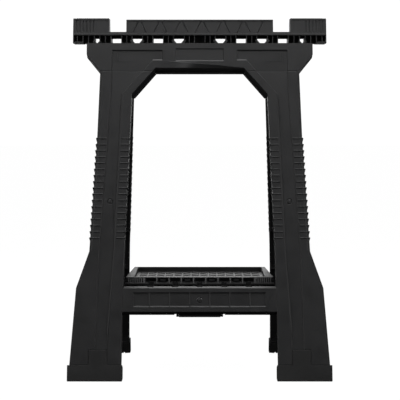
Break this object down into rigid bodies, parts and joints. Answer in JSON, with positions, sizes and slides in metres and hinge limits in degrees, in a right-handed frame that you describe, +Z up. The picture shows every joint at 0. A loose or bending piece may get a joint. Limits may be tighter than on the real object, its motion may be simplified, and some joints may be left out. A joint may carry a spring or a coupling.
{
  "type": "folding sawhorse",
  "caption": "Folding plastic sawhorse: two hinged A-frames under a notched work rail, with a fold-up tool tray between the legs.",
  "frame": {"origin": "on the floor, under the middle of the hinge axis, with the sawhorse standing open", "axes": "+Z up, +X along the rails, the front frame with the tray's hinge on the -Y side"},
  "size_m": [0.5808, 0.5048, 0.802],
  "materials": {
    "polypropylene": "black moulded polypropylene, fine matt texture",
    "foot_rubber": "black moulded rubber, matt",
    "steel_rod": "plain drawn steel rod"
  },
  "bodies": {
    "front_frame": {"front_rail": "polypropylene", "front_yoke": "polypropylene", "front_leg_left": "polypropylene", "front_leg_right": "polypropylene", "front_crossbar": "polypropylene", "front_boot_left": "foot_rubber", "front_boot_right": "foot_rubber", "front_plug_left": "polypropylene", "front_plug_right": "polypropylene", "front_plug_middle": "polypropylene", "hinge_rod": "steel_rod", "hinge_cap_left": "polypropylene", "hinge_cap_right": "polypropylene", "shelf_rod": "steel_rod", "latch_pin": "steel_rod"},
    "rear_frame": {"rear_rail": "polypropylene", "rear_yoke": "polypropylene", "rear_leg_left": "polypropylene", "rear_leg_right": "polypropylene", "rear_crossbar": "polypropylene", "rear_boot_left": "foot_rubber", "rear_boot_right": "foot_rubber", "rear_plug_left": "polypropylene", "rear_plug_right": "polypropylene", "rear_plug_middle": "polypropylene"},
    "shelf": {"shelf_tray": "polypropylene"},
    "latch": {"closing_latch": "polypropylene"}
  },
  "joints": [
    {"name": "rear_frame_fold", "type": "hinge", "parent": "front_frame", "child": "rear_frame", "pos_m": [0, 0, 0.764], "axis": [-1, 0, 0], "range_deg": [0, 32]},
    {"name": "shelf_lift", "type": "hinge", "parent": "front_frame", "child": "shelf", "pos_m": [0, -0.17156, 0.19162], "axis": [1, 0, 0], "range_deg": [0, 74]},
    {"name": "latch_swing", "type": "hinge", "parent": "front_frame", "child": "latch", "pos_m": [0, -0.18581, 0.13776], "axis": [-1, 0, 0], "range_deg": [0, 22]}
  ],
  "couplings": [
    {"joint": "shelf_lift", "follows": "rear_frame_fold", "ratio": 2.3125}
  ]
}
